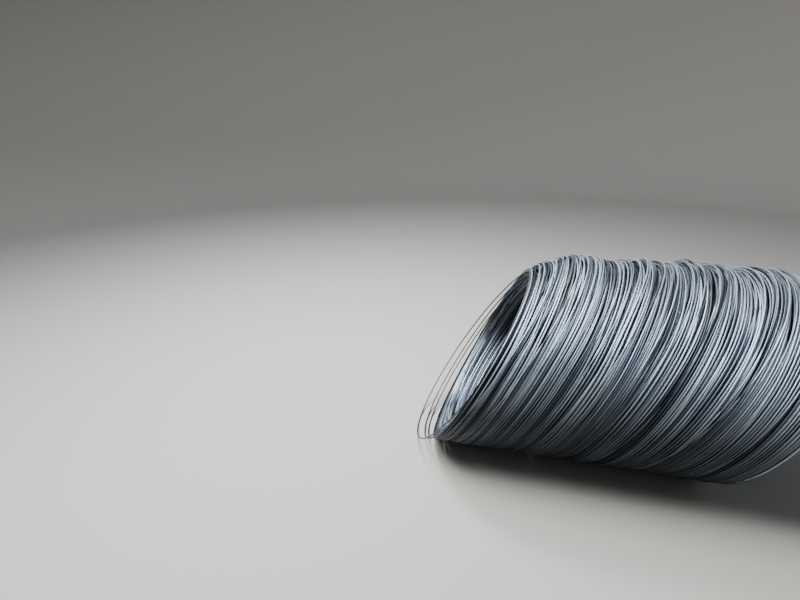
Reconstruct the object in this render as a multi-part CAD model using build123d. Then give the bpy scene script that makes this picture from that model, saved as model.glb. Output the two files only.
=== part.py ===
from build123d import *
from math import cos, pi, radians, sin
import os

# A coil of steel wire rod that lies on its side, with its turns leaning back from the mouth.
# One continuous wire is one piece of stock, so the coil is one solid: the pack of turns,
# bored through, with the end turns and the loose turns of the mouth standing out of it.
# Millimetres. +X runs along the bore from the mouth, +Y to the far side, +Z up from the floor.

# Wire
wire_diameter = 8

# Pack of turns
outer_diameter = 1200
bore_diameter = 850
coil_length = 1405
lean_angle = 27

# Uneven lay of the turns, in bundles of uneven width and height, fuller in the middle
bundle_count = 13
bundle_unevenness = 0.22
bundle_swell = 12
first_crown = 23
groove_depth = 8
middle_rise = 6

# Mouth, where the turns fan out a little on the far side and sag, and its dished face:
# the outer turns stand forward as a lip and the inner ones lie back
mouth_splay = 1.6
splay_length = 400
mouth_sag = 15
sag_length = 160
dish_depth = 55
dish_lip = 30
dish_overrun = 25

# End turns that show on each face
end_turn_count = 3
end_turn_margin = 12
end_turn_sides = 4

# Loose turns that stand before the mouth, the largest first: distance out from it on the floor,
# lean and splay. The first is set in a little from the outside of the mouth.
loose_turn_distances = (67, 29, 14)
loose_turn_leans = (33.2, 31.8, 31.0)
loose_turn_splays = (5.0, 4.5, 3.8)
loose_turn_inset = 10
loose_turn_step = 15
loose_turn_sides = 6

# Reach of the bore's cut past the end faces
bore_overrun = 60

wire_radius = wire_diameter / 2
outer_radius = outer_diameter / 2
bore_radius = bore_diameter / 2
golden_ratio = (1 + 5 ** 0.5) / 2


def turn_splay(station):
    """Angle that a turn of the pack is fanned about its near side, largest at the mouth."""
    return mouth_splay * max(0.0, 1 - station / splay_length)


def pack_radius(station):
    """Radius of the pack at a station, apart from its bundles."""
    rise = middle_rise * sin(pi * station / coil_length)
    sag = mouth_sag * max(0.0, 1 - station / sag_length)
    return outer_radius + rise - sag


def turn_plane(station, radius, lean, splay):
    """Plane of a turn that leans on the floor at a station, with X across the coil and Y up the turn."""
    rise = radians(lean)
    near_side = Vector(station + radius * sin(rise), -radius, radius * cos(rise))
    across = Vector(0, 1, 0).rotate(Axis.Z, splay)
    up_turn = Vector(sin(rise), 0, cos(rise)).rotate(Axis.Z, splay)
    return Plane(origin=near_side + across * radius, x_dir=across, z_dir=across.cross(up_turn))


def uneven(index):
    """An even spread of values from -1 to 1 that never repeats."""
    return 2 * (index * golden_ratio % 1) - 1


def bundle_edges():
    """Stations of the grooves between bundles of turns, and of both ends."""
    width = coil_length / bundle_count
    inner_edges = [width * (index + bundle_unevenness * uneven(index)) for index in range(1, bundle_count)]
    return [0, *inner_edges, coil_length]


def bundle_crowns():
    """Station and radius of the crown of each bundle."""
    edges = bundle_edges()
    middles = [(start + end) / 2 for start, end in zip(edges, edges[1:])]
    swells = [bundle_swell * uneven(first_crown + index) for index in range(bundle_count)]
    return [(middle, pack_radius(middle) + swell) for middle, swell in zip(middles, swells)]


def pack_circle(station, seat_radius, inset=0):
    """Outside of the pack at a station: a turn that rests on the floor, drawn in by an inset."""
    plane = turn_plane(station, seat_radius, lean_angle, turn_splay(station))
    return (plane * Circle(seat_radius - inset)).wire()


def pack_of_turns():
    """The outside of the coil: crowned bundles of turns with a groove between each two."""
    crowns = bundle_crowns()
    grooves = bundle_edges()[1:-1]
    circles = [pack_circle(0, pack_radius(0)), pack_circle(*crowns[0])]
    for groove, before, after in zip(grooves, crowns, crowns[1:]):
        circles.append(pack_circle(groove, min(before[1], after[1]), groove_depth))
        circles.append(pack_circle(*after))
    circles.append(pack_circle(coil_length, pack_radius(coil_length)))
    return Solid.make_loft(circles, ruled=True)


def bore():
    """The clear way through the coil, past both faces."""
    inset = outer_radius - bore_radius
    stations = (-bore_overrun, splay_length, coil_length + bore_overrun)
    return Solid.make_loft([pack_circle(station, outer_radius, inset) for station in stations], ruled=True)


def dish_plane(depth):
    """Plane across the mouth's dish at a depth behind the face."""
    return turn_plane(0, outer_radius, lean_angle, turn_splay(0)).offset(depth)


def dish_radius(depth):
    """Radius of the dish at a depth: it narrows from inside the lip to the bore."""
    rim_radius = pack_radius(0) - dish_lip
    return rim_radius + (bore_radius - rim_radius) * depth / dish_depth


def dish():
    """The hollow of the mouth, from before the face to inside the bore."""
    front, back = -dish_overrun, dish_depth + dish_overrun
    return Solid.make_cone(dish_radius(front), dish_radius(back), back - front, dish_plane(front))


def wire_ring(radius, sides):
    """A closed turn of wire of a given mean radius, with flat sides round its section."""
    section = Plane.XZ * Pos(radius, 0) * RegularPolygon(wire_radius, sides)
    return revolve(section, Axis.Z)


def far_end_turns():
    """Turns that show on the far face, half proud of it and laid off centre round the bore."""
    plane = turn_plane(coil_length, outer_radius, lean_angle, turn_splay(coil_length))
    wall_outside = outer_radius - end_turn_margin
    wall_inside = bore_radius + end_turn_margin
    ring = wire_ring((wall_outside + wall_inside) / 2 - wire_radius, end_turn_sides)
    offset = (wall_outside - wall_inside) / 2 - wire_radius
    angles = [360 * index / end_turn_count for index in range(end_turn_count)]
    return [plane * Rot(0, 0, angle) * Pos(offset, 0, 0) * ring for angle in angles]


def dish_turns():
    """Turns that show on the mouth's dish, half proud of it, one behind the other."""
    depths = [dish_depth * index / (end_turn_count + 1) for index in range(1, end_turn_count + 1)]
    return [dish_plane(depth) * wire_ring(dish_radius(depth), end_turn_sides) for depth in depths]


def loose_mouth_turns():
    """Turns that have come away at the mouth: they stand on the floor and lean back into the pack."""
    turns = []
    lays = zip(loose_turn_distances, loose_turn_leans, loose_turn_splays)
    for index, (distance, lean, splay) in enumerate(lays):
        radius = pack_radius(0) - loose_turn_inset - loose_turn_step * index - wire_radius
        turn = turn_plane(-distance, radius, lean, splay) * wire_ring(radius, loose_turn_sides)
        turns.append(Pos(0, 0, wire_radius) * turn)
    return turns


coil = pack_of_turns() - bore() - dish()
coil = coil.fuse(*dish_turns(), *far_end_turns(), *loose_mouth_turns())

# The origin is on the floor under the middle of the coil.
box = coil.bounding_box()
coil = Pos(-box.center().X, -box.center().Y, 0) * coil

os.makedirs("parts", exist_ok=True)
export_step(coil, "parts/wire_rod_coil.step")
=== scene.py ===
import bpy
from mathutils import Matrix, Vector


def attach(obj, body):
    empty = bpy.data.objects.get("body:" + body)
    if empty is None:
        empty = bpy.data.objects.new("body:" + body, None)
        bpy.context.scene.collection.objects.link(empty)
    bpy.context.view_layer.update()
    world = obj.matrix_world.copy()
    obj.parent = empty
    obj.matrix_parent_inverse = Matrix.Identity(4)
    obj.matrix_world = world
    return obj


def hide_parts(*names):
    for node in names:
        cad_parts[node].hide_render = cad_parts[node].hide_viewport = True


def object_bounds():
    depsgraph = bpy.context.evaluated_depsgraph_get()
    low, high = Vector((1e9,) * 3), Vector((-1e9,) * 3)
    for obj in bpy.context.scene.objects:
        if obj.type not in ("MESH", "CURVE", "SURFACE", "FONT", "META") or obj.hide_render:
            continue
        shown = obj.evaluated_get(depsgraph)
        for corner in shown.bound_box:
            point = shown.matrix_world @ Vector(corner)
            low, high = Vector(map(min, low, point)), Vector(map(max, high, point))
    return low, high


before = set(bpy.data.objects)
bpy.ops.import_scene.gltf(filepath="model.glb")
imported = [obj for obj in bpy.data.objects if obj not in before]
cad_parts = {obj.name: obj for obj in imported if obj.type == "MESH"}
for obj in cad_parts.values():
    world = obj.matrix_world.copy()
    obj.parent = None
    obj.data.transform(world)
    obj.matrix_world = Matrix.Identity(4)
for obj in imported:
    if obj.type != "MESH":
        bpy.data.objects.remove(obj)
cad_box = [list(corner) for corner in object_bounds()]

import math

import bpy
from mathutils import Vector
import numpy as np

# A coil of steel wire rod on its side. Every wire that shows is a swept tube: clusters of turns wound
# in layers, stray turns that cross them, the turns of both ends, and the loose turns of the mouth.

# Sizes of the coil in metres, as the part's source gives them
wire_radius = 0.004
outer_radius = 0.600
bore_radius = 0.425
coil_length = 1.405
lean = math.radians(27)
bundle_count = 13
bundle_unevenness = 0.22
bundle_swell = 0.012
first_crown = 23
groove_depth = 0.008
middle_rise = 0.006
mouth_splay = math.radians(1.6)
splay_length = 0.400
mouth_sag = 0.015
sag_length = 0.160
dish_depth = 0.055
dish_lip = 0.030
loose_turn_distances = (0.067, 0.029, 0.014)
loose_turn_leans = (33.2, 31.8, 31.0)
loose_turn_splays = (5.0, 4.5, 3.8)
loose_turn_inset = 0.010
loose_turn_step = 0.015
end_turn_count = 3
end_turn_margin = 0.012

# Droop of the top of the mouth and the length that it fades over, which only this scene has
mouth_droop = 0.112
droop_length = 0.120

# How far the droop goes on before the mouth and the dish inside the bore, as shares of the whole
droop_limit = 1.05
dish_limit = 1.1

# Where the mouth stands on the floor, from the far end of the CAD box
mouth_x = cad_box[1][0] - coil_length - 2 * outer_radius * math.sin(lean)

# Distance along the coil that one wire takes up, and depth from one layer to the next
wire_pitch = 2 * wire_radius / math.cos(lean)
layer_depth = 0.0075

# How far the wound turns stray in metres, at their sides and how much more at their top:
# they wander along the coil and lift out of their layer, as whole clusters and one by one
cluster_wander = (0.0024, 0.0096)
own_wander = (0.0012, 0.0060)
cluster_lift = (0.0009, 0.00234)
own_lift = (0.0015, 0.0042)
lift_limit = 0.010
cluster_harmonics = 2
own_harmonics = 4

# How far whole bundles wander along the coil in the wound layers and in the wall, how much higher
# they stand at the top of a turn, and the sine of the angle where its top begins
layer_drift = 0.004
wall_drift = 0.008
top_swell = 0.9
top_begins = 0.25

# Distances from an end at which the wound turns begin to wander and wander in full. The first is
# below zero, so that they wander a little at the end itself.
wander_begins = -0.010
wander_full = 0.060

# The turns of the bore begin a little further back at the top of the mouth, and lift less
bore_edge_rise = 0.014
bore_lift_range = (-0.002, 0.006)

# How much looser the turns lie at the mouth, as a share, and the length over which that fades
mouth_looseness = 0.7
looseness_length = 0.05

# Each point has a tone, which runs from the darkest wire at minus its reach to the palest. It has
# a spread for clusters, one for single turns, and streaks along each turn.
tone_reach = 2.3
cluster_tone_spread = 0.15
own_tone_spread = 1.35
streak_size = 0.35
streak_harmonics = 6

# Each point has a lay, from 1 where a turn lies open to the dust down to -1 where it is darkened: grime with
# painted shade underneath the coil, and painted shade alone at the top inside the bore. The turns under the
# outermost layer get less dust, and bare wire has next to none of either.
covered_lay = 0.7
bare_lay = 0.4

# The camera of the photograph: its station from the mouth, distance, height and turns
camera_station = 0.610
camera_distance = 3.010
camera_height = 1.890
camera_turn = math.radians(15.926)
camera_pitch = math.radians(19.933)
photo_focal_px = 578.0
frame_width_px = 800
sensor_width_mm = 36.0

rng = np.random.default_rng(20)
golden_ratio = (1 + 5 ** 0.5) / 2


def uneven(index):
    """An even spread of values from -1 to 1 that never repeats."""
    return 2 * (index * golden_ratio % 1) - 1


def plain_radius(station):
    """Radius of the pack at a station, apart from its bundles."""
    rise = middle_rise * math.sin(math.pi * station / coil_length)
    sag = mouth_sag * max(0.0, 1 - station / sag_length)
    return outer_radius + rise - sag


def pack_profile():
    """Edges of the bundles, and stations and radii of their crowns with a groove between each two."""
    width = coil_length / bundle_count
    inner_edges = [width * (index + bundle_unevenness * uneven(index)) for index in range(1, bundle_count)]
    edges = [0, *inner_edges, coil_length]
    middles = [(first + last) / 2 for first, last in zip(edges, edges[1:])]
    swells = [bundle_swell * uneven(first_crown + index) for index in range(bundle_count)]
    crowns = [plain_radius(middle) + swell for middle, swell in zip(middles, swells)]
    stations = [0, middles[0]]
    radii = [plain_radius(0), crowns[0]]
    for index in range(1, bundle_count):
        stations += [edges[index], middles[index]]
        radii += [min(crowns[index - 1], crowns[index]) - groove_depth, crowns[index]]
    stations.append(coil_length)
    radii.append(plain_radius(coil_length))
    return np.array(edges), np.array(stations), np.array(radii)


bundle_edges, profile_stations, profile_radii = pack_profile()


def soft_profile(bridge_length=0.050, step=0.001, bundle_share=0.65):
    """Stations, plain radii, and heights of the bundles with soft flanks, as turns bridge the grooves."""
    stations = np.arange(0, coil_length + step, step)
    reach = int(bridge_length / step)
    weights = np.hanning(2 * reach + 1)
    radii = np.pad(np.interp(stations, profile_stations, profile_radii), reach, mode="edge")
    softened = np.convolve(radii, weights / weights.sum(), mode="valid")
    plain = np.array([plain_radius(station) for station in stations])
    return stations, plain, bundle_share * (softened - plain)


soft_stations, plain_radii, bundle_heights = soft_profile()


def bundle_height(station):
    """Height of the bundles at a station over the plain radius."""
    return np.interp(station, soft_stations, bundle_heights)


def pack_radius(station):
    """Outside radius of the pack at a station."""
    return np.interp(station, soft_stations, plain_radii + bundle_heights)


def pack_splay(station):
    """Angle that a turn of the pack is fanned about its near side, largest at the mouth."""
    return mouth_splay * np.clip(1 - station / splay_length, 0, 1)


def dish_depth_at(radius):
    """Depth of the mouth's dish behind its face at a radius, going on a little inside the bore."""
    rim_radius = plain_radius(0) - dish_lip
    return dish_depth * np.clip((rim_radius - radius) / (rim_radius - bore_radius), 0, dish_limit)


def step_between(value, low, high):
    """A smooth step from 0 at low to 1 at high."""
    share = np.clip((value - low) / (high - low), 0, 1)
    return share * share * (3 - 2 * share)


def in_from_ends(station):
    """Distance of a station from the nearer end of the coil."""
    return np.minimum(station, coil_length - station)


def painted_shade_top(angle, most, begins, full):
    """Lay of turns that are bare at the foot and darkened by painted shade at the top, as inside the mouth.
    """
    return bare_lay - most * step_between(np.sin(angle), begins, full)


def lay_on_floor(station, radius, angle, seat_radius, turn_lean, splay):
    """Points of turns that lean on the floor: angle 0 is the far side, a quarter turn is the top."""
    across = seat_radius + radius * np.cos(angle)
    along = radius * np.sin(angle) * math.sin(turn_lean)
    middle = mouth_x + station + seat_radius * math.sin(turn_lean)
    x = middle + along * np.cos(splay) - across * np.sin(splay)
    y = across * np.cos(splay) + along * np.sin(splay) - seat_radius
    z = (seat_radius + radius * np.sin(angle)) * math.cos(turn_lean)
    return np.stack([x, y, z], axis=-1)


def lay_in_pack(station, radius, angle, seat_radius):
    """Points of turns of the pack: at the top of the mouth the wall droops and is squeezed thinner."""
    near_mouth = np.clip(1 - station / droop_length, 0, droop_limit) ** 2
    outwards = np.clip((radius - bore_radius) / (outer_radius - bore_radius), 0, 1)
    droop = mouth_droop * near_mouth * outwards * np.clip(np.sin(angle), 0, 1) ** 3
    return lay_on_floor(station, radius - droop, angle, seat_radius, lean, pack_splay(station))


def kept_off_floor(points):
    """Points of a wire's middle line, none so low that the wire goes into the floor."""
    points[:, 2] = np.maximum(points[:, 2], wire_radius)
    return points


def section_axes(angle, turn_lean):
    """Outward direction and turn normal along a wire, for the ring of points round it."""
    up_turn = np.sin(angle)
    outward = [up_turn * math.sin(turn_lean), np.cos(angle), up_turn * math.cos(turn_lean)]
    outward = np.stack(outward, axis=-1)
    normal = np.array([math.cos(turn_lean), 0.0, -math.sin(turn_lean)])
    return outward, np.broadcast_to(normal, outward.shape)


def wire_mesh(name, points, outward, normal, tone, lay, segments, sides, closed=False):
    """A tube of wire along points, with a strip of the bake map for each turn."""
    count = len(points)
    corner = 2 * math.pi * np.arange(sides) / sides
    ring = np.cos(corner)[None, :, None] * outward[:, None] + np.sin(corner)[None, :, None] * normal[:, None]
    vertices = (points[:, None] + wire_radius * ring).reshape(-1, 3)
    steps = np.arange(count if closed else count - 1)[:, None]
    side = np.arange(sides)
    next_step = (steps + 1) % count
    next_side = (side + 1) % sides
    here = (steps * sides + side).ravel()
    here_next = (steps * sides + next_side).ravel()
    ahead = (next_step * sides + side).ravel()
    ahead_next = (next_step * sides + next_side).ravel()
    faces = np.stack([here, here_next, ahead_next, ahead], axis=-1)

    turn_count = math.ceil(len(steps) / segments)
    low_u = np.repeat((steps % segments) / segments, sides, axis=1)
    low_v = (steps // segments + side / sides) / turn_count
    high_u = low_u + 1 / segments
    high_v = low_v + 1 / (sides * turn_count)
    corners = np.stack([low_u, low_v, low_u, high_v, high_u, high_v, high_u, low_v], axis=-1)

    mesh = bpy.data.meshes.new(name)
    mesh.vertices.add(len(vertices))
    mesh.vertices.foreach_set("co", vertices.astype(np.float32).ravel())
    mesh.loops.add(faces.size)
    mesh.loops.foreach_set("vertex_index", faces.astype(np.int32).ravel())
    mesh.polygons.add(len(faces))
    mesh.polygons.foreach_set("loop_start", np.arange(0, faces.size, 4, dtype=np.int32))
    mesh.polygons.foreach_set("use_smooth", np.ones(len(faces), dtype=bool))
    bake_map = mesh.uv_layers.new(name="OFBake")
    bake_map.data.foreach_set("uv", corners.astype(np.float32).ravel())
    for attribute, values in (("tone", tone), ("lay", lay)):
        stored = mesh.attributes.new(attribute, "FLOAT", "POINT")
        along_wire = np.broadcast_to(values, count)
        stored.data.foreach_set("value", np.repeat(along_wire, sides).astype(np.float32))
    mesh.update(calc_edges=True)
    mesh.validate()
    return mesh


def add_piece(name, mesh):
    """A piece of the coil: it rides with the part and stands for the CAD coil."""
    piece = bpy.data.objects.new(name, mesh)
    bpy.context.scene.collection.objects.link(piece)
    mesh.materials.append(wire_steel)
    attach(piece, "root")
    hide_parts("wire_rod_coil")


def random_rows(count, harmonics):
    """Random sizes of the cosine and sine waves round a turn, one row for each of a count."""
    fade = 1 / np.arange(1, harmonics + 1)
    return rng.normal(size=(count, 2, harmonics)) * fade


def wave(rows, angle):
    """The value at each angle of its row of waves, or of the one row for all."""
    harmonic = np.arange(1, rows.shape[-1] + 1)
    turned = angle[:, None] * harmonic
    return (rows[:, 0] * np.cos(turned) + rows[:, 1] * np.sin(turned)).sum(axis=-1)


def blend_rows(rows, index, share):
    """Rows blended from one index to the next by a share."""
    shape = (-1,) + (1,) * (rows.ndim - 1)
    share = share.reshape(shape)
    return rows[index] * (1 - share) + rows[index + 1] * share


bundle_waves = random_rows(bundle_count + 2, harmonics=2)


def bundle_wander(station, angle):
    """How far the bundle at a station stands from its even place along the coil, before its size."""
    place = np.clip(np.interp(station, bundle_edges, np.arange(len(bundle_edges))), 0, bundle_count)
    index = place.astype(int)
    return wave(blend_rows(bundle_waves, index, place - index), angle)


def cluster_layout(fewest, most, gaps, loosest):
    """Stations of the turns of a layer in clusters with gaps between, and each turn's cluster."""
    stations = []
    clusters = []
    station = 0.0
    cluster = 0
    while station < coil_length:
        count = int(rng.integers(fewest, most + 1))
        for index in range(count):
            stations.append(station)
            clusters.append(cluster)
            looseness = 1 + mouth_looseness * math.exp(-station / looseness_length)
            station += wire_pitch * rng.uniform(1.0, loosest) * looseness
        station += rng.uniform(*gaps)
        cluster += 1
    stations = np.array(stations)
    return stations * coil_length / stations[-1], np.array(clusters)


def wound_steps(turn_count, segments):
    """The turn that each point of a wound wire is in, and its share of the way round it."""
    steps = np.arange(turn_count * segments + 1)
    turn = np.minimum(steps // segments, turn_count - 1)
    return turn, (steps - turn * segments) / segments


def wound_layer(name, depth, segments, sides, fewest, most, gaps, loosest, tone_middle, inside=False):
    """One layer of the pack: a wire wound from the mouth to the far end, in clusters that wander."""
    stations, clusters = cluster_layout(fewest, most, gaps, loosest)
    turn, share = wound_steps(len(stations) - 1, segments)
    angle = 2 * math.pi * share + rng.uniform(0, 2 * math.pi)
    top = np.zeros_like(angle) if inside else step_between(np.sin(angle), top_begins, 1.0)

    def strayed(rows, size):
        """Waves along the wire, of one size at the sides of a turn and larger by another at its top."""
        at_sides, more_at_top = size
        return wave(blend_rows(rows, turn, share), angle) * (at_sides + more_at_top * top)

    cluster_count = clusters[-1] + 1
    cluster_waves = random_rows(cluster_count, cluster_harmonics)[clusters]
    cluster_lifts = random_rows(cluster_count, cluster_harmonics)[clusters]
    own_waves = random_rows(len(stations), own_harmonics)
    own_lifts = random_rows(len(stations), own_harmonics)
    nominal = blend_rows(stations, turn, share)
    wander = strayed(cluster_waves, cluster_wander) + strayed(own_waves, own_wander)
    wander += layer_drift * bundle_wander(nominal, angle)
    lift = strayed(cluster_lifts, cluster_lift) + strayed(own_lifts, own_lift)
    lift = np.clip(lift, -lift_limit, lift_limit) + top_swell * top * bundle_height(nominal)
    station = nominal + wander * step_between(in_from_ends(nominal), wander_begins, wander_full)

    if inside:
        # The bore's turns begin at the bottom of the dish, a little further back at the top.
        mouth_edge = dish_depth / math.cos(lean) + bore_edge_rise * np.sin(angle)
        station = mouth_edge + station * (1 - mouth_edge / coil_length)
        seat = np.full_like(nominal, outer_radius)
        radius = bore_radius + wire_radius + depth + np.clip(lift, *bore_lift_range)
        # The bore's turns get painted shade at their top, through a low lay.
        lay = painted_shade_top(angle, most=0.90, begins=-0.75, full=0.15)
    else:
        seat = pack_radius(nominal)
        radius = seat - wire_radius - depth + lift
        lay = np.minimum(np.sin(angle), 1.0 if depth == 0 else covered_lay)
    points = kept_off_floor(lay_in_pack(station, radius, angle, seat))
    outward, normal = section_axes(angle, lean)

    cluster_tones = rng.normal(0, cluster_tone_spread, cluster_count)[clusters]
    tones = tone_middle + cluster_tones + rng.normal(0, own_tone_spread, len(stations))
    streaks = wave(blend_rows(random_rows(len(stations), streak_harmonics), turn, share), angle)
    tone = blend_rows(tones, turn, share) + streak_size * streaks
    add_piece(name, wire_mesh(name, points, outward, normal, tone, lay, segments, sides))


def wall_layer(name, start, pitch, segments, sides, turn_step):
    """Turns laid off centre round the bore, each shifted round from the last, that fill the wall."""
    # Room that the turns leave at the wall's sides, and how far in their middle circle is set
    wall_margin = 0.030
    wall_inset = 0.003
    # How far they wander, and the uneven swing in their shift
    offset_wander = 0.006
    station_wander = 0.003
    shift_swing = 0.5
    swing_per_turn = 0.7
    # Length from the mouth over which its dish fades out of them
    dish_reach = 0.5
    tone_middle = -0.9
    tone_spread = 0.6
    turn_count = int((coil_length - 2 * start) / pitch)
    turn, share = wound_steps(turn_count, segments)
    angle = 2 * math.pi * share
    row = turn + share

    offset_rows = random_rows(turn_count + 1, harmonics=2)
    offset_waves = wave(blend_rows(offset_rows, turn, share), angle)
    offset = (outer_radius - bore_radius) / 2 - wall_margin + offset_wander * offset_waves
    shift = math.radians(turn_step) * row + shift_swing * np.sin(row * swing_per_turn)
    radius = (outer_radius + bore_radius) / 2 - wall_inset + offset * np.cos(angle - shift)
    station_rows = random_rows(turn_count + 1, harmonics=3)
    station_waves = wave(blend_rows(station_rows, turn, share), angle)
    station = start + pitch * row + station_wander * station_waves
    inner_share = step_between(in_from_ends(station), 0, wander_full)
    station += wall_drift * bundle_wander(station, angle) * inner_share
    station += dish_depth_at(radius) / math.cos(lean) * np.clip(1 - station / dish_reach, 0, 1)
    points = lay_in_pack(station, radius, angle, outer_radius)
    outward, normal = section_axes(angle, lean)
    tone = blend_rows(rng.normal(tone_middle, tone_spread, turn_count + 1), turn, share)
    add_piece(name, wire_mesh(name, points, outward, normal, tone, bare_lay, segments, sides))


def ring_angles(segments):
    """The angles of the points of a closed turn."""
    return 2 * math.pi * np.arange(segments) / segments


def joined_rings(name, rings, segments, sides):
    """Closed turns joined into one piece: each is its points, outward, normal, tone and lay."""
    pieces = []
    for ring in rings:
        piece = bpy.data.objects.new(name, wire_mesh(name, *ring, segments, sides, closed=True))
        bpy.context.scene.collection.objects.link(piece)
        pieces.append(piece)
    with bpy.context.temp_override(active_object=pieces[0], selected_editable_objects=pieces):
        bpy.ops.object.join()
    mesh = pieces[0].data
    bpy.data.objects.remove(pieces[0])
    bake = mesh.uv_layers["OFBake"].data
    corners = np.empty(len(bake) * 2, dtype=np.float32)
    bake.foreach_get("uv", corners)
    corners = corners.reshape(len(rings), -1, 2)
    corners[:, :, 1] = (corners[:, :, 1] + np.arange(len(rings))[:, None]) / len(rings)
    bake.foreach_set("uv", corners.ravel())
    add_piece(name, mesh)


def stray_turns(name, count, segments, sides):
    """Turns that have slipped over the others and cross them at a small angle."""
    # One of them crosses much of the coil, as in the photograph: its station, reach and angle
    long_stray = count - 4
    long_stray_lay = (1.05, 0.060, math.radians(50))
    # Where the others stand in their share of the length, how far they reach, and their shape
    place_range = (0.2, 0.8)
    reach_range = (0.010, 0.034)
    second_wave = 0.3
    height_wave = 0.0025
    height_at_top = 0.004
    tone_middle = 0.9
    tone_spread = 0.5
    angle = ring_angles(segments)
    outward, normal = section_axes(angle, lean)
    rings = []
    for index in range(count):
        home = coil_length * (index + rng.uniform(*place_range)) / count
        reach = rng.uniform(*reach_range)
        turned = rng.uniform(0, 2 * math.pi)
        if index == long_stray:
            home, reach, turned = long_stray_lay
        station = home + reach * np.cos(angle - turned) + second_wave * reach * np.cos(2 * angle + turned)
        station = np.clip(station, 0.0, coil_length)
        seat = (pack_radius(station).max() + pack_radius(station).mean()) / 2
        height = height_wave * np.cos(3 * angle + turned) + height_at_top * np.sin(angle)
        points = kept_off_floor(lay_in_pack(station, seat - wire_radius + height, angle, seat))
        rings.append((points, outward, normal, rng.normal(tone_middle, tone_spread), np.sin(angle)))
    joined_rings(name, rings, segments, sides)


def behind_face(station, inward, depth, radius, angle):
    """Points of turns that lie at a depth straight behind an end face."""
    splay = pack_splay(station)
    square = [math.cos(lean) * np.cos(splay), math.cos(lean) * np.sin(splay), -math.sin(lean)]
    points = lay_in_pack(station, radius, angle, outer_radius)
    return points + inward * depth[:, None] * np.array(square)


def end_face(name, station, inward, outside, depth_at, segments, sides):
    """The turns of an end: side by side across the wall, with off-centre turns laid over them."""
    # Spacing of the turns side by side, their depth under those that cross them, and their wander
    spacing = 2.15 * wire_radius
    under_crossings = 0.010
    radius_wander = 0.0025
    depth_wander = 0.002
    under_tone = 0.3
    under_tone_spread = 1.3
    # The turns that cross them: how far off centre, as shares of the room, and how deep
    crossing_count = 12
    crossing_shares = (0.35, 1.0)
    crossing_depths = (0.002, 0.007)
    crossing_tone = 0.6
    crossing_tone_spread = 0.9
    angle = ring_angles(segments)
    outward, normal = section_axes(angle, lean)
    wall = outside - bore_radius
    slope = math.hypot(wall, float(depth_at(bore_radius)))
    side_by_side = int(slope / spacing)
    # At the mouth the face's turns get painted shade at their top, through a low lay.
    lay = painted_shade_top(angle, most=0.75, begins=-0.70, full=0.20) if inward > 0 else bare_lay
    rings = []
    for index in range(side_by_side):
        radius = bore_radius + wall * (index + 0.5) / side_by_side
        radius = radius + radius_wander * wave(random_rows(1, harmonics=3), angle)
        depth_waves = wave(random_rows(1, harmonics=2), angle)
        depth = depth_at(radius) + under_crossings + depth_wander * depth_waves
        points = behind_face(station, inward, depth, radius, angle)
        rings.append((points, outward, normal, rng.normal(under_tone, under_tone_spread), lay))

    # A few of those that cross them stand half proud of the face, as the part's do.
    middle = (outside + bore_radius) / 2
    offset = wall / 2 - end_turn_margin - wire_radius
    for index in range(crossing_count):
        proud = index % (crossing_count // end_turn_count) == 0
        turned = 2 * math.pi * index / crossing_count
        reach = offset if proud else offset * rng.uniform(*crossing_shares)
        radius = middle + reach * np.cos(angle - turned)
        depth = depth_at(radius) + (0.0 if proud else rng.uniform(*crossing_depths))
        points = behind_face(station, inward, depth, radius, angle)
        rings.append((points, outward, normal, rng.normal(crossing_tone, crossing_tone_spread), lay))
    joined_rings(name, rings, segments, sides)


def lip_turns(name, segments, sides):
    """The turns of the mouth's lip, outside the dish, that lie on its face."""
    count = 4
    first_station = 0.003
    station_step = 0.002
    spacing = 2.1 * wire_radius
    radius_wave = 0.001
    tone_middle = -0.4
    tone_spread = 1.2
    angle = ring_angles(segments)
    outward, normal = section_axes(angle, lean)
    seat = plain_radius(0)
    rings = []
    for index in range(count):
        radius = seat - wire_radius - spacing * index + radius_wave * np.cos(2 * angle + index)
        points = lay_in_pack(first_station + station_step * index, radius, angle, seat)
        rings.append((points, outward, normal, rng.normal(tone_middle, tone_spread), np.sin(angle)))
    joined_rings(name, rings, segments, sides)


def mouth_turns(name, segments, sides):
    """The loose turns that stand on the floor before the mouth and lean back into the pack."""
    loose_tone = -0.7
    angle = ring_angles(segments)
    rings = []
    lays = zip(loose_turn_distances, loose_turn_leans, loose_turn_splays)
    for index, (distance, lean_degrees, splay_degrees) in enumerate(lays):
        turn_lean = math.radians(lean_degrees)
        radius = plain_radius(0) - loose_turn_inset - loose_turn_step * index - wire_radius
        points = lay_on_floor(-distance, radius, angle, radius, turn_lean, math.radians(splay_degrees))
        points[:, 2] += wire_radius
        outward, normal = section_axes(angle, turn_lean)
        rings.append((points, outward, normal, loose_tone, bare_lay))
    joined_rings(name, rings, segments, sides)


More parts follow.
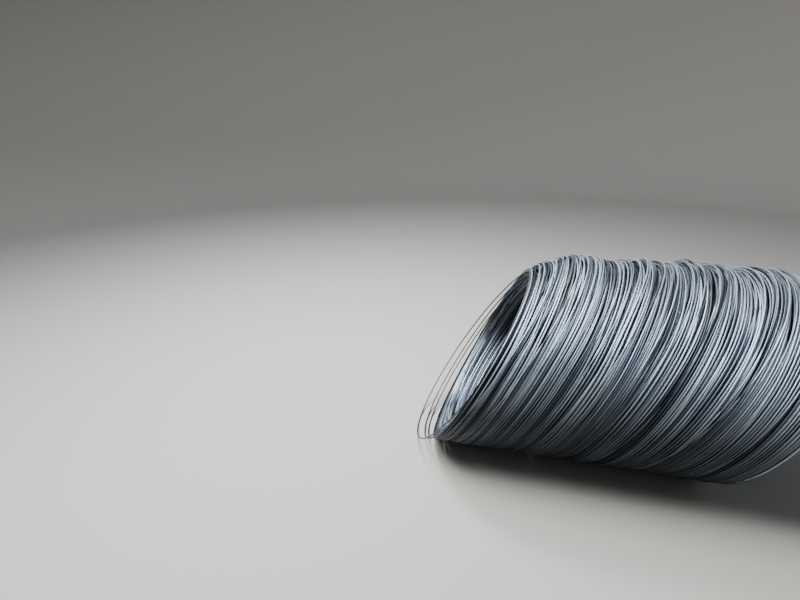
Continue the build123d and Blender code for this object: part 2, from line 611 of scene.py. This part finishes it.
def steel_material():
    """Hot-rolled wire: blue-grey mill scale, dusty on top, dark underneath from grime and painted shade,
    with painted shade at the top inside the bore.
    """
    darkest = (0.022, 0.028, 0.040, 1)
    middle_grey = (0.165, 0.21, 0.275, 1)
    palest = (0.58, 0.68, 0.81, 1)
    dust_colour = (0.50, 0.485, 0.48, 1)
    rust_colour = (0.20, 0.115, 0.065, 1)
    shade_and_grime_colour = (0.016, 0.017, 0.019, 1)

    material = bpy.data.materials.new("wire_steel")
    material.use_nodes = True
    nodes = material.node_tree.nodes
    links = material.node_tree.links
    nodes.clear()
    output = nodes.new("ShaderNodeOutputMaterial")
    shader = nodes.new("ShaderNodeBsdfPrincipled")
    shader.inputs["Metallic"].default_value = 0.85
    links.new(shader.outputs["BSDF"], output.inputs["Surface"])
    place = nodes.new("ShaderNodeTexCoord")

    def attribute(name):
        """A value stored on the points of a wire."""
        node = nodes.new("ShaderNodeAttribute")
        node.attribute_name = name
        return node.outputs["Fac"]

    def noise(scale, detail):
        """Noise in the piece's own space."""
        node = nodes.new("ShaderNodeTexNoise")
        node.inputs["Scale"].default_value = scale
        node.inputs["Detail"].default_value = detail
        links.new(place.outputs["Object"], node.inputs["Vector"])
        return node.outputs["Fac"]

    def smooth_range(value, begins, full, least=0.0, most=1.0):
        """A smooth change from the least, where the value begins, to the most, where it is full."""
        node = nodes.new("ShaderNodeMapRange")
        node.interpolation_type = "SMOOTHSTEP"
        node.inputs["From Min"].default_value = begins
        node.inputs["From Max"].default_value = full
        node.inputs["To Min"].default_value = least
        node.inputs["To Max"].default_value = most
        links.new(value, node.inputs["Value"])
        return node.outputs["Result"]

    def mixed(share, first, colour):
        """A colour laid over the first by a share."""
        node = nodes.new("ShaderNodeMix")
        node.data_type = "RGBA"
        node.inputs["B"].default_value = colour
        links.new(share, node.inputs["Factor"])
        links.new(first, node.inputs["A"])
        return node.outputs["Result"]

    scale_colour = nodes.new("ShaderNodeValToRGB")
    ramp = scale_colour.color_ramp
    ramp.elements[0].position = 0.10
    ramp.elements[0].color = darkest
    ramp.elements[1].position = 0.92
    ramp.elements[1].color = palest
    ramp.elements.new(0.5).color = middle_grey
    links.new(smooth_range(attribute("tone"), -tone_reach, tone_reach), scale_colour.inputs["Fac"])

    dust = smooth_range(attribute("lay"), begins=0.60, full=1.0, most=0.24)
    dusted = mixed(dust, scale_colour.outputs["Color"], dust_colour)
    rust = smooth_range(noise(scale=26.0, detail=5.0), begins=0.60, full=0.80, most=0.12)
    rusted = mixed(rust, dusted, rust_colour)
    # Where the lay is low the wire is darkened near to black: grime and painted shade under the coil,
    # painted shade alone at the top inside the bore.
    shade_and_grime = smooth_range(attribute("lay"), begins=0.45, full=-0.26, most=0.88)
    links.new(mixed(shade_and_grime, rusted, shade_and_grime_colour), shader.inputs["Base Color"])
    roughness = smooth_range(noise(scale=60.0, detail=3.0), begins=0.30, full=0.70, least=0.40, most=0.56)
    links.new(roughness, shader.inputs["Roughness"])

    bump = nodes.new("ShaderNodeBump")
    bump.inputs["Strength"].default_value = 0.25
    bump.inputs["Distance"].default_value = 0.0006
    links.new(noise(scale=420.0, detail=2.0), bump.inputs["Height"])
    links.new(bump.outputs["Normal"], shader.inputs["Normal"])
    return material


def plain_floor():
    """A pale round floor that curves up into a low plain wall."""
    flat_reach = 4.0
    floor_reach = 8.0
    cove_radius = 2.0
    wall_height = 7.0
    cove_steps = 13
    around_count = 96
    rise = np.linspace(0, math.pi / 2, cove_steps)
    reach = [0.0, flat_reach, *(floor_reach + cove_radius * np.sin(rise)), floor_reach + cove_radius]
    height = [0.0, 0.0, *(cove_radius * (1 - np.cos(rise))), wall_height]
    around = ring_angles(around_count)
    vertices = [(far * math.cos(angle), far * math.sin(angle), high)
                for far, high in zip(reach, height) for angle in around]
    faces = []
    for inner in range(0, (len(reach) - 1) * around_count, around_count):
        outer = inner + around_count
        for index in range(around_count):
            following = (index + 1) % around_count
            faces.append((inner + index, inner + following, outer + following, outer + index))
    mesh = bpy.data.meshes.new("floor")
    mesh.from_pydata(vertices, [], faces)
    mesh.polygons.foreach_set("use_smooth", [True] * len(faces))
    floor = bpy.data.objects.new("floor", mesh)
    bpy.context.scene.collection.objects.link(floor)
    material = bpy.data.materials.new("pale_floor")
    material.use_nodes = True
    shader = material.node_tree.nodes["Principled BSDF"]
    shader.inputs["Base Color"].default_value = (0.50, 0.485, 0.46, 1)
    shader.inputs["Roughness"].default_value = 0.9
    mesh.materials.append(material)


def area_light(name, place, aim, size, power, colour):
    """A soft rectangular light that faces a point."""
    light = bpy.data.lights.new(name, "AREA")
    light.shape = "RECTANGLE"
    light.size, light.size_y = size
    light.energy = power
    light.color = colour
    lamp = bpy.data.objects.new(name, light)
    lamp.location = place
    direction = Vector(aim) - Vector(place)
    lamp.rotation_euler = direction.to_track_quat("-Z", "Y").to_euler()
    bpy.context.scene.collection.objects.link(lamp)


def studio():
    """Soft light from high above and from the mouth's side, and a dim even surround."""
    world = bpy.data.worlds.new("surround")
    world.use_nodes = True
    background = world.node_tree.nodes["Background"]
    background.inputs["Color"].default_value = (0.80, 0.88, 1.0, 1)
    background.inputs["Strength"].default_value = 0.20
    bpy.context.scene.world = world
    area_light("overhead", place=(-2.2, -0.9, 4.9), aim=(-0.4, 0.0, 0.4), size=(3.6, 3.2),
               power=520, colour=(1.0, 0.99, 0.97))
    area_light("mouth_side", place=(-2.2, 1.6, 4.4), aim=(-0.7, 0.2, 0.2), size=(1.2, 1.2),
               power=225, colour=(0.93, 0.97, 1.0))


def photo_camera():
    """The camera where the photograph was taken from, with the photograph's own frame."""
    camera = bpy.data.cameras.new("camera")
    camera.sensor_width = sensor_width_mm
    camera.lens = photo_focal_px * sensor_width_mm / frame_width_px
    holder = bpy.data.objects.new("camera", camera)
    holder.location = (mouth_x + camera_station, -camera_distance, camera_height)
    holder.rotation_euler = (math.pi / 2 - camera_pitch, 0.0, camera_turn)
    bpy.context.scene.collection.objects.link(holder)
    bpy.context.scene.camera = holder


wire_steel = steel_material()
photo_camera()
studio()
plain_floor()

# The wound layers, from the outside in, and then those of the bore. The loosest turns of a cluster
# stand this many wires apart.
# Each deeper layer has a darker tone_middle, which paints shade into the gaps between the turns above it.
wound_layer("outer_turns_1", 0.0, segments=72, sides=6, fewest=3, most=9,
            gaps=(0.000, 0.004), loosest=2.10, tone_middle=0.7)
wound_layer("outer_turns_2", layer_depth, segments=72, sides=6, fewest=3, most=9,
            gaps=(0.000, 0.004), loosest=1.60, tone_middle=-0.1)
wound_layer("outer_turns_3", 2 * layer_depth, segments=60, sides=5, fewest=3, most=9,
            gaps=(0.001, 0.003), loosest=1.20, tone_middle=-0.6)
wound_layer("outer_turns_4", 3 * layer_depth, segments=60, sides=4, fewest=6, most=14,
            gaps=(0.001, 0.003), loosest=1.10, tone_middle=-1.2)
wound_layer("inner_turns_1", 0.0, segments=60, sides=5, fewest=2, most=7,
            gaps=(0.002, 0.008), loosest=1.30, tone_middle=0.8, inside=True)
wound_layer("inner_turns_2", layer_depth, segments=60, sides=4, fewest=5, most=12,
            gaps=(0.001, 0.005), loosest=1.12, tone_middle=-0.5, inside=True)

# The turns inside the wall, each shifted round from the last by an angle in degrees
wall_layer("wall_turns_1", start=0.024, pitch=0.0098, segments=56, sides=4, turn_step=23.0)
wall_layer("wall_turns_2", start=0.028, pitch=0.0100, segments=56, sides=4, turn_step=-31.0)
wall_layer("wall_turns_3", start=0.026, pitch=0.0103, segments=56, sides=4, turn_step=137.5)

# The stray turns, both faces, the lip of the mouth and the loose turns before it
stray_turns("stray_turns", count=24, segments=72, sides=6)
end_face("mouth_face", 0.0, inward=1, outside=plain_radius(0) - dish_lip, depth_at=dish_depth_at,
         segments=64, sides=5)
end_face("far_face", coil_length, inward=-1, outside=outer_radius, depth_at=np.zeros_like,
         segments=64, sides=5)
lip_turns("lip_turns", segments=72, sides=6)
mouth_turns("loose_turns", segments=96, sides=8)
